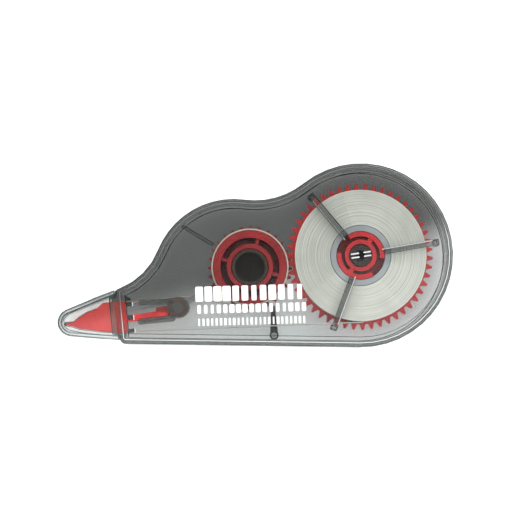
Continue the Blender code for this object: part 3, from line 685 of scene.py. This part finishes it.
def section(node: str, height: float, keep: slice) -> bpy.types.Mesh:
    """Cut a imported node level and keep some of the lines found, the longest first.

    Args:
        node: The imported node.
        height: The cut's height, in metres.
        keep: Which lines are kept.

    Returns:
        A mesh of those lines' edges.
    """
    shape = merged_shape(node)
    parts = list(shape.verts) + list(shape.edges) + list(shape.faces)
    cut = bmesh.ops.bisect_plane(shape, geom=parts, plane_co=(0, 0, height), plane_no=(0, 0, 1),
                                 dist=CUT_SLACK)
    shape.edges.index_update()
    edges = {part.index: part for part in cut["geom_cut"] if isinstance(part, bmesh.types.BMEdge)}
    lines = []
    while edges:
        line, waiting = [], [edges.pop(min(edges))]
        while waiting:
            edge = waiting.pop()
            line.append(edge)
            for corner in edge.verts:
                near = [other.index for other in corner.link_edges if other.index in edges]
                waiting += [edges.pop(index) for index in sorted(near)]
        lines.append(line)
    lines.sort(key=lambda line: -sum(edge.calc_length() for edge in line))
    kept = [edge for line in lines[keep] for edge in line]
    corners = sorted({corner for edge in kept for corner in edge.verts}, key=lambda corner: tuple(corner.co))
    number = {corner: place for place, corner in enumerate(corners)}
    mesh = bpy.data.meshes.new("line")
    mesh.from_pydata([corner.co.copy() for corner in corners],
                     [(number[edge.verts[0]], number[edge.verts[1]]) for edge in kept], [])
    shape.free()
    return mesh


@dataclass(frozen=True)
class Block:
    """A small flat block with rounded corners, laid singly or in a row, with its sizes in millimetres."""

    length: float
    width: float
    corner: float
    thickness: float
    count: int = 1
    step: float = 0.0
    seed: int = 0

    def lay(self, name: str, start: Vector, slope: float, material: bpy.types.Material) -> bpy.types.Object:
        """Lay the block or its row.

        Args:
            name: The piece's name.
            start: The middle of the first block, in metres.
            slope: The row's direction about Z, in radians.
            material: The finish.

        Returns:
            The piece.
        """
        return mark_growth().grow(name, {
            "Start": start, "Count": self.count, "Step": self.step * MM, "Width": self.length * MM,
            "Height": self.width * MM, "Round": self.corner * MM, "Slope": slope,
            "Ink": self.thickness * MM, "Seed": self.seed, "Material": material,
        })


@dataclass(frozen=True)
class Prong:
    """A dark block of the fork, with its place from the pivot pin and its share of the fork's tilt."""

    name: str
    along: float
    across: float
    block: Block
    tilt_share: float


@dataclass(frozen=True)
class MarkRow:
    """A row of printed marks, and how far below the reel's middle it stands in millimetres."""

    name: str
    drop: float
    block: Block


@dataclass(frozen=True)
class TurnSet:
    """A set of wound turns that show on the roll's face, and how many degrees each runs."""

    name: str
    count: int
    sweep: float


@dataclass(frozen=True)
class Lamp:
    """A soft light, with its place and size in metres and its power in watts."""

    name: str
    place: Triple
    size: tuple[float, float]
    watts: float


def directions(turn: float) -> tuple[Vector, Vector]:
    """Give the level directions along and across a line.

    Args:
        turn: The line's direction about Z, in radians.

    Returns:
        The direction along the line, and the one to its left.
    """
    along = Vector((math.cos(turn), math.sin(turn), 0))
    return along, Vector((-along.y, along.x, 0))


@dataclass
class SubAssembly:
    """Pieces that ride on one body."""

    body: Body
    made: list[bpy.types.Object] = field(default_factory=list)

    def settle(self, piece: bpy.types.Object, slot: Slot, *nodes: str) -> bpy.types.Object:
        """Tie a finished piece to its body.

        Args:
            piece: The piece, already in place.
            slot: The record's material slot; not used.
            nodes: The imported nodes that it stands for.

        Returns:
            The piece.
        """
        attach(piece, self.body.value)
        if nodes:
            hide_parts(*nodes)
        self.made.append(piece)
        log.info("%s: %d faces", piece.name, len(piece.data.polygons))
        return piece

    def skin(self, node: str, name: str, slot: Slot, material: bpy.types.Material,
             crease: float = 32.0) -> bpy.types.Object:
        """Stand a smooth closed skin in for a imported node.

        Args:
            node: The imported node.
            name: The new piece's name.
            slot: The record's material slot.
            material: The finish.
            crease: The angle from which an edge stays sharp, in degrees.

        Returns:
            The piece.
        """
        mesh = as_mesh(merged_shape(node), name)
        mesh.materials.clear()
        mesh.materials.append(material)
        mesh.polygons.foreach_set("material_index", [0] * len(mesh.polygons))
        mesh.polygons.foreach_set("use_smooth", [True] * len(mesh.polygons))
        mesh.set_sharp_from_angle(angle=math.radians(crease))
        piece = bpy.data.objects.new(name, mesh)
        bpy.context.scene.collection.objects.link(piece)
        return self.settle(piece, slot, node)


@dataclass
class Casing(SubAssembly):
    """The two smoke-tinted shells with their painted shade, painted edge lines and glints, the dark fork and
    clips, and the front's marks.
    """

    body: Body = Body.CASING
    bead: float = 0.1
    bead_drop: float = 1.9
    rim_line: float = 0.07
    light_drop: float = 0.8
    dark_drop: float = 0.15
    rib_line: float = 0.09
    rib_gap: float = 0.45
    keeper_rise: float = 2.2
    # Where the painted glints on the fins beside the axle pin lie.
    glint_depth: float = 1.4
    fin_tilt: float = 8.5
    fin_reach: float = 1.35
    fin_spread: float = 0.42
    fin_block: Block = Block(1.5, 0.3, 0.1, 0.05, count=2, step=2.7, seed=3)
    # The rib glints: painted highlights along one side of each rib, laid as thin bright blocks.
    rib_angles: tuple[float, ...] = (9.8, 129.8, 249.8)
    rib_inner: float = 5.6
    rib_outer: float = 15.2
    rib_side: float = 0.5
    rib_width: float = 0.16
    rib_corner: float = 0.05
    rib_thickness: float = 0.1
    fork_rise: float = 0.1
    nose_tilt: float = 5.6
    prongs: tuple[Prong, ...] = (
        Prong("fork_upper", -4.8, 1.2, Block(6.6, 1.3, 0.6, 0.25), 0.5),
        Prong("fork_lower", -4.6, -2.7, Block(7.2, 1.4, 0.65, 0.25), 1.0),
        Prong("fork_boss", 0.1, 0.0, Block(4.4, 4.4, 2.1, 0.25), 0.0),
    )
    clip_place: Triple = (2.3, 2.2, -2.1)
    clip_lift: float = 0.1
    glint_shift: float = 0.75
    clip_block: Block = Block(0.9, 1.3, 0.08, 0.6, count=3, step=2.9, seed=5)
    glint_block: Block = Block(0.9, 0.18, 0.08, 0.6, count=3, step=2.9, seed=5)
    # Radii of the painted shadows down the two axle bores, in millimetres.
    reel_bore_shadow: float = 4.6
    wheel_bore_shadow: float = 3.3
    mark_slope: float = 1.6
    mark_start: float = 11.0
    mark_drop: float = 1.8
    mark_rows: tuple[MarkRow, ...] = (
        MarkRow("bold_marks", -4.3, Block(1.45, 3.3, 0.3, 0.02, count=12, step=1.98, seed=0)),
        MarkRow("thin_marks", -7.6, Block(0.95, 1.9, 0.3, 0.02, count=17, step=1.42, seed=1)),
        MarkRow("fine_marks", -10.4, Block(0.5, 1.6, 0.18, 0.02, count=25, step=0.95, seed=2)),
    )

    def shells(self, back: SeeThrough, front: SeeThrough) -> None:
        """Dress both shells.

        Args:
            back: The back shell's finish.
            front: The front shell's finish.
        """
        # Painted shadows down the bores of the reel's and the wheel's axles.
        bore_shadows = ((centre_of("liner_roll"), self.reel_bore_shadow), (centre_of("tape_roll"), self.wheel_bore_shadow))
        self.skin("back_shell", "lower_shell", Slot.SMOKE, back.material(bore_shadows))
        self.skin("front_shell", "upper_shell", Slot.SMOKE, front.material())

    def beads(self, dark: SeeThrough, bright: SeeThrough) -> None:
        """Run beads round the inside of the shells, round their rims and along the ribs and pins, as painted
        shade lines and one painted highlight line.

        Args:
            dark: The finish of the dark beads, which are painted shade lines.
            bright: The finish of the bright one, a painted highlight.
        """
        growth = bead_growth()
        light, shade = bright.material(), dark.material()
        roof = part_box("front_shell")[1].z
        rib_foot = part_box("tape_roll")[1].z + self.rib_gap * MM
        keeper_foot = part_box("supply_gear")[0].z + self.keeper_rise * MM
        outer, inner, features = slice(0, 1), slice(1, 2), slice(2, None)
        # roof_bead and floor_bead: a thin lip moulded inside each shell, coloured as a painted shade line;
        # rim_light_line: a painted highlight on the rounded edge; rim_dark_line, rib_lines and keeper_lines:
        # painted shade lines.
        places = {
            "roof_bead": ("front_shell", roof - self.bead_drop * MM, inner, self.bead, shade),
            "floor_bead": ("back_shell", self.bead_drop * MM, inner, self.bead, shade),
            "rim_light_line": ("front_shell", roof - self.light_drop * MM, outer, self.rim_line, light),
            "rim_dark_line": ("front_shell", roof - self.dark_drop * MM, outer, self.rim_line, shade),
            "rib_lines": ("front_shell", rib_foot, features, self.rib_line, shade),
            "keeper_lines": ("front_shell", keeper_foot, features, self.rib_line, shade),
        }
        for name, (node, height, keep, width, material) in places.items():
            line = section(node, height, keep)
            self.settle(growth.grow(name, {"Width": width * MM, "Material": material}, line), Slot.SMOKE)

    def glints(self, finish: Plastic) -> None:
        """Lay painted glints on the fins beside the axle pin, as highlights on their edges.

        Args:
            finish: The glints' finish.
        """
        axle = centre_of("roll_core")
        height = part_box("front_shell")[1].z - self.glint_depth * MM
        turn = math.radians(self.fin_tilt)
        along, across = directions(turn)
        start = Vector((axle.x, axle.y, height)) - along * self.fin_reach * MM
        material = finish.material()
        for name, side in (("near_fin_glints", -1), ("far_fin_glints", 1)):
            place = start + across * side * self.fin_spread * MM
            self.settle(self.fin_block.lay(name, place, turn, material), Slot.CLEAR)

    def rib_glints(self, finish: Plastic) -> None:
        """Lay a painted glint along one side of each rib over the roll, as the highlight on its edge.

        Args:
            finish: The glints' finish.
        """
        axle = centre_of("tape_roll")
        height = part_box("tape_roll")[1].z + self.rib_gap * MM
        block = Block(self.rib_outer - self.rib_inner, self.rib_width, self.rib_corner, self.rib_thickness)
        reach = (self.rib_inner + self.rib_outer) / 2
        material = finish.material()
        for number, angle in enumerate(self.rib_angles, 1):
            turn = math.radians(angle)
            along, across = directions(turn)
            middle = Vector((axle.x, axle.y, height)) + (along * reach + across * self.rib_side) * MM
            self.settle(block.lay(f"rib_chamfer_{number}", middle, turn, material), Slot.SMOKE)

    def fork(self, dark: Plastic) -> None:
        """Lay the dark insides of the fork that holds the stem, and of the boss round its pin.

        Args:
            dark: Their finish.
        """
        pivot = next(Vector(joint["pos_m"]) for joint in frame["joints"] if joint["name"] == "head_rock")
        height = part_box("applicator_head")[1].z + self.fork_rise * MM
        tilt = math.radians(self.nose_tilt)
        material = dark.material()
        for prong in self.prongs:
            place = Vector((pivot.x, pivot.y, height)) + Vector((prong.along, prong.across, 0)) * MM
            piece = prong.block.lay(prong.name, place, tilt * prong.tilt_share, material)
            self.settle(piece, Slot.SMOKE)

    def clips(self, dark: Plastic, bright: Plastic) -> None:
        """Set the small clips across the neck, each with a painted glint along its upper edge.

        Args:
            dark: The clips' finish.
            bright: The finish of the painted glints on their edges.
        """
        low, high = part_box("tip_cap")
        corner = Vector((high.x, (low.y + high.y) / 2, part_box("front_shell")[1].z))
        start = corner + Vector(self.clip_place) * MM
        slope = -math.pi / 2 + math.radians(self.nose_tilt)
        rows = (
            ("neck_clips", 0.0, self.clip_block, dark),
            ("clip_glints", self.glint_shift, self.glint_block, bright),
        )
        for name, shift, block, finish in rows:
            place = start + Vector((shift, self.clip_lift, 0)) * MM
            self.settle(block.lay(name, place, slope, finish.material()), Slot.SMOKE)

    def marks(self, finish: Plastic) -> None:
        """Print rows of plain marks where a label would be.

        Args:
            finish: The ink.
        """
        material = finish.material()
        reel = centre_of("take_up_reel")
        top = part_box("front_shell")[1].z
        for row in self.mark_rows:
            start = Vector((reel.x - self.mark_start * MM, reel.y + (row.drop - self.mark_drop) * MM, top))
            piece = row.block.lay(row.name, start, math.radians(self.mark_slope), material)
            self.settle(piece, Slot.PRINT)

    def films(self, tape: Plastic, liner: Plastic) -> None:
        """Dress the tape on its way to the head, and the liner on its way back."""
        self.skin("fresh_tape_run", "tape_run", Slot.TAPE, tape.material())
        self.skin("liner_run", "liner_return", Slot.LINER, liner.material())


@dataclass
class DriveWheel(SubAssembly):
    """The drive wheel with its clutch."""

    body: Body = Body.DRIVE_WHEEL

    def wheel(self, red: Plastic, clutch: Plastic) -> None:
        """Dress the drive wheel and its clutch spring."""
        self.skin("supply_gear", "drive_gear", Slot.RED, red.material(), 25)
        self.skin("clutch_spring", "clutch_shoes", Slot.RED, clutch.material())


@dataclass
class TapeSpool(SubAssembly):
    """The core and its wound tape, which slip on the drive wheel."""

    body: Body = Body.TAPE_SPOOL
    inner_gap: float = 0.4
    outer_gap: float = 0.1
    wire: float = 0.022
    jitter: float = 0.2
    turn_sets: tuple[TurnSet, ...] = (TurnSet("long_turns", 16, 300), TurnSet("short_turns", 22, 110))

    def roll(self, core: Plastic, film: WoundFilm, shade: Plastic) -> None:
        """Dress the core and the wound tape, and lay the ends of its turns on its face.

        Args:
            core: The core's finish.
            film: The wound tape's finish.
            shade: The finish of the turns' ends.
        """
        self.skin("roll_core", "core_ring", Slot.CORE, core.material())
        axle = centre_of("tape_roll")
        self.skin("tape_roll", "wound_tape", Slot.TAPE, film.material(axle))
        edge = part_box("tape_roll")[1]
        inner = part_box("roll_core")[1].x - axle.x + self.inner_gap * MM
        outer = edge.x - axle.x - self.outer_gap * MM
        growth = ring_growth()
        material = shade.material()
        for seed, turns in enumerate(self.turn_sets):
            piece = growth.grow(turns.name, {
                "Centre": Vector((axle.x, axle.y, edge.z)), "Inner": inner, "Outer": outer,
                "Count": turns.count, "Sweep": math.radians(turns.sweep), "Wire": self.wire * MM,
                "Jitter": self.jitter * MM, "Seed": seed, "Material": material,
            })
            self.settle(piece, Slot.TAPE)


@dataclass
class TakeUp(SubAssembly):
    """The take-up reel and the spent liner on it."""

    body: Body = Body.TAKE_UP

    def reel(self, red: Plastic, liner: WoundFilm) -> None:
        """Dress the reel and the liner wound on its drum."""
        self.skin("take_up_reel", "take_up", Slot.RED, red.material(), 25)
        self.skin("liner_roll", "wound_liner", Slot.LINER, liner.material(centre_of("liner_roll")))


@dataclass
class Applicator(SubAssembly):
    """The head on its stem, and the tape round its blade."""

    body: Body = Body.HEAD

    def head(self, red: Plastic, tape: Plastic) -> None:
        """Dress the head and the tape round its blade."""
        self.skin("applicator_head", "head_wedge", Slot.HEAD, red.material(), 20)
        self.skin("tip_tape_loop", "tape_loop", Slot.TAPE, tape.material())


@dataclass
class Cap(SubAssembly):
    """The clear cap that pulls off the head."""

    body: Body = Body.CAP
    bead: float = 0.07
    wall_share: float = 0.5
    rim_drop: float = 2.1

    def shell(self, clear: SeeThrough, dark: SeeThrough) -> None:
        """Dress the cap, with one painted shade line round its wall half way up and another near its top.

        Args:
            clear: The cap's finish.
            dark: The finish of the painted shade lines.
        """
        self.skin("tip_cap", "clear_cap", Slot.CLEAR, clear.material())
        growth = bead_growth()
        material = dark.material()
        low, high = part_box("tip_cap")
        places = {
            "cap_wall_shade_line": low.z + (high.z - low.z) * self.wall_share,
            "cap_rim_shade_line": high.z - self.rim_drop * MM,
        }
        for name, height in places.items():
            line = section("tip_cap", height, slice(0, 1))
            piece = growth.grow(name, {"Width": self.bead * MM, "Material": material}, line)
            self.settle(piece, Slot.CLEAR)


@dataclass
class Pawl(SubAssembly):
    """The finger beside the take-up reel's teeth."""

    body: Body = Body.PAWL

    def finger(self, dark: Plastic) -> None:
        """Dress the finger."""
        self.skin("back_stop_pawl", "stop_finger", Slot.PAWL, dark.material())


@dataclass
class Studio:
    """The pale floor, soft lights and camera."""

    aim: Vector = field(default_factory=lambda: Vector((0.18, 0, 6.5)) * MM)
    elevation: float = 87.0
    distance: float = 0.5
    frame_width: float = 0.1126
    sensor: float = 36.0
    near_limit: float = 0.01
    floor_size: float = 3.0
    floor_gap: float = 0.05
    floor_glow: float = 0.5
    sky: float = 0.9
    layers: int = 32
    lamps: tuple[Lamp, ...] = (
        Lamp("key_light", (-0.12, -0.5, 0.5), (0.6, 0.3), 0.8),
        Lamp("right_light", (0.5, 0.05, 0.45), (0.3, 0.5), 0.6),
        Lamp("far_light", (0.05, 0.5, 0.5), (0.6, 0.3), 2.5),
        Lamp("strip_light", (0, -0.55, 0.22), (0.9, 0.03), 1.0),
    )

    def floor(self, paper: Plastic) -> None:
        """Lay a pale floor just under the object.

        Args:
            paper: The floor's finish.
        """
        half = self.floor_size / 2
        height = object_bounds()[0].z - self.floor_gap * MM
        mesh = bpy.data.meshes.new("floor")
        mesh.from_pydata([(-half, -half, height), (half, -half, height), (half, half, height),
                          (-half, half, height)], [], [(0, 1, 2, 3)])
        material = paper.material()
        shader = material.node_tree.nodes["Principled BSDF"]
        shader.inputs["Emission Color"].default_value = (1, 1, 1, 1)
        shader.inputs["Emission Strength"].default_value = self.floor_glow
        mesh.materials.append(material)
        floor = bpy.data.objects.new("floor", mesh)
        bpy.context.scene.collection.objects.link(floor)
        floor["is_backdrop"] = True

    def light(self, lamp: Lamp) -> None:
        """Hang one soft light that looks at the object.

        Args:
            lamp: The light.
        """
        source = bpy.data.lights.new(lamp.name, "AREA")
        source.shape = "RECTANGLE"
        source.size, source.size_y = lamp.size
        source.energy = lamp.watts
        place = Vector(lamp.place)
        holder = bpy.data.objects.new(lamp.name, source)
        holder.location = place
        holder.rotation_euler = (self.aim - place).to_track_quat("-Z", "Y").to_euler()
        bpy.context.scene.collection.objects.link(holder)

    def sky_light(self) -> None:
        """Fill the surroundings with even white light."""
        world = bpy.data.worlds.new("studio")
        world.use_nodes = True
        background = world.node_tree.nodes["Background"]
        background.inputs["Color"].default_value = (1, 1, 1, 1)
        background.inputs["Strength"].default_value = self.sky
        bpy.context.scene.world = world

    def camera(self) -> None:
        """Look straight down, a little from the front."""
        lens = bpy.data.cameras.new("camera")
        lens.sensor_width = self.sensor
        lens.lens = self.sensor * self.distance / self.frame_width
        lens.clip_start = self.near_limit
        rise = math.radians(self.elevation)
        away = Vector((0, -math.cos(rise), math.sin(rise))) * self.distance
        camera = bpy.data.objects.new("camera", lens)
        camera.location = self.aim + away
        camera.rotation_euler = (-away).to_track_quat("-Z", "Y").to_euler()
        bpy.context.scene.collection.objects.link(camera)
        bpy.context.scene.camera = camera

    def build(self, paper: Plastic) -> None:
        """Set up the whole studio.

        Args:
            paper: The floor's finish.
        """
        self.floor(paper)
        self.sky_light()
        for lamp in self.lamps:
            self.light(lamp)
        self.camera()
        scene = bpy.context.scene
        scene.view_settings.view_transform = "Standard"
        scene.cycles.transparent_max_bounces = self.layers


# Both smoke finishes carry the painted shade of the sweep: darker towards +Y, lighter towards -Y.
SMOKE_BACK = SeeThrough("smoke_back", (0.040, 0.056, 0.050), (0.40, 0.47, 0.46), 0.18, 0.59,
                        edge_alpha=0.92, edge_power=3.0, thin_alpha=0.33, rib_alpha=0.7, rib_from=2.0,
                        rib_to=9.4,
                        rib_colour=(0.03, 0.027, 0.026), edge_deep=(0.018, 0.022, 0.02),
                        edge_light=(0.30, 0.34, 0.34), wall_alpha=0.42)
SMOKE_FRONT = SeeThrough("smoke_front", (0.05, 0.058, 0.052), (0.3, 0.34, 0.34), 0.1, 0.055,
                         edge_alpha=0.9, edge_power=2.6, thin_alpha=0.03, rib_alpha=0.42, rib_from=0.0,
                         rib_to=11.0, rib_colour=(0.11, 0.135, 0.118), edge_deep=(0.015, 0.02, 0.018),
                         edge_light=(0.30, 0.35, 0.35), wall_alpha=0.36, shine=0.5)
# Painted shade lines at the shells' edges, ribs and pins.
PAINTED_SHADE_LINE = SeeThrough("painted_shade_line", (0.012, 0.015, 0.013), (0.05, 0.065, 0.065), 0.1, 0.85,
                       edge_alpha=0.9, thin_alpha=0.7, edge_deep=(0.015, 0.02, 0.018),
                       edge_light=(0.05, 0.07, 0.07))
# A painted highlight line on the shell's rounded rim.
PAINTED_HIGHLIGHT_LINE = SeeThrough("painted_highlight_line", (0.22, 0.25, 0.24), (0.95, 0.97, 0.97), 0.1, 0.7,
                         edge_alpha=0.9, thin_alpha=0.95, edge_deep=(0.2, 0.22, 0.2),
                         edge_light=(0.95, 0.97, 0.97))
# Painted shade lines round the clear cap.
CAP_SHADE_LINE = SeeThrough("cap_shade_line", (0.02, 0.035, 0.03), (0.05, 0.08, 0.08), 0.1, 0.8,
                      edge_alpha=0.85, thin_alpha=0.7, edge_deep=(0.02, 0.035, 0.03),
                      edge_light=(0.06, 0.09, 0.09))
# The cap's tint and opacity follow the same painted shade.
CLEAR_CAP = SeeThrough("clear_cap", (0.07, 0.115, 0.105), (0.38, 0.60, 0.60), 0.06, 0.16,
                       edge_alpha=0.97, edge_power=1.5, thin_alpha=0.05, edge_deep=(0.015, 0.025, 0.022),
                       edge_light=(0.05, 0.075, 0.075), wall_alpha=0.22, wall_colour=(0.08, 0.13, 0.125),
                       shine=0.5)
FORK = Plastic("fork_smoke", (0.035, 0.045, 0.04), (0.07, 0.085, 0.075), 0.25, 0.5, edge=0.0)
CLIP = Plastic("clip_smoke", (0.02, 0.022, 0.02), (0.05, 0.055, 0.05), 0.2, 0.8, edge=0.05)
RED = Plastic("gear_red", (0.72, 0.02, 0.028), (0.85, 0.035, 0.035), 0.3, 0.78)
CLUTCH_RED = Plastic("clutch_red", (0.45, 0.012, 0.018), (0.6, 0.02, 0.025), 0.3)
REEL_RED = Plastic("reel_red", (0.20, 0.003, 0.006), (0.36, 0.009, 0.014), 0.3, 0.95)
HEAD_RED = Plastic("head_red", (0.9, 0.016, 0.02), (1.0, 0.035, 0.025), 0.35)
CORE_BLUE = Plastic("core_blue", (0.25, 0.28, 0.295), (0.35, 0.375, 0.385), 0.35)
DARK = Plastic("dark_moulding", (0.02, 0.02, 0.02), (0.05, 0.05, 0.045), 0.4)
INK = Plastic("white_ink", (0.85, 0.86, 0.86), (0.95, 0.95, 0.95), 0.5, edge=0.0)
# Painted glints on fins, ribs and clip edges.
GLINT = Plastic("painted_glint", (0.85, 0.86, 0.86), (0.95, 0.95, 0.95), 0.2, edge=0.0)
TAPE_WHITE = Plastic("tape_white", (0.45, 0.46, 0.42), (0.55, 0.56, 0.52), 0.6)
TURN_SHADE = Plastic("turn_shade", (0.26, 0.28, 0.25), (0.32, 0.34, 0.31), 0.6, edge=0.0)
LINER_CREAM = Plastic("liner_cream", (0.42, 0.37, 0.28), (0.52, 0.46, 0.37), 0.5, 0.9)
WOUND_WHITE = WoundFilm("wound_white", (0.42, 0.435, 0.385), (0.60, 0.62, 0.56), 0.55, bump=0.3)
WOUND_CREAM = WoundFilm("wound_cream", (0.42, 0.34, 0.27), (0.60, 0.54, 0.45), 0.5, turns=5.0)
FLOOR_PAPER = Plastic("floor_paper", (0.94, 0.94, 0.94), (0.97, 0.97, 0.97), 0.8, bump=0.02, edge=0.0)


def main() -> None:
    """Build every sub-assembly, then the studio."""
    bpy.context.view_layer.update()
    casing = Casing()
    casing.shells(SMOKE_BACK, SMOKE_FRONT)
    casing.beads(PAINTED_SHADE_LINE, PAINTED_HIGHLIGHT_LINE)
    casing.glints(GLINT)
    casing.rib_glints(GLINT)
    casing.fork(FORK)
    casing.clips(CLIP, GLINT)
    casing.marks(INK)
    casing.films(TAPE_WHITE, LINER_CREAM)
    drive = DriveWheel()
    drive.wheel(RED, CLUTCH_RED)
    spool = TapeSpool()
    spool.roll(CORE_BLUE, WOUND_WHITE, TURN_SHADE)
    take_up = TakeUp()
    take_up.reel(REEL_RED, WOUND_CREAM)
    applicator = Applicator()
    applicator.head(HEAD_RED, TAPE_WHITE)
    cap = Cap()
    cap.shell(CLEAR_CAP, CAP_SHADE_LINE)
    pawl = Pawl()
    pawl.finger(DARK)
    Studio().build(FLOOR_PAPER)
    for assembly in (casing, drive, spool, take_up, applicator, cap, pawl):
        log.info("%s: %d pieces", type(assembly).__name__, len(assembly.made))


if __name__ == "__main__":
    main()
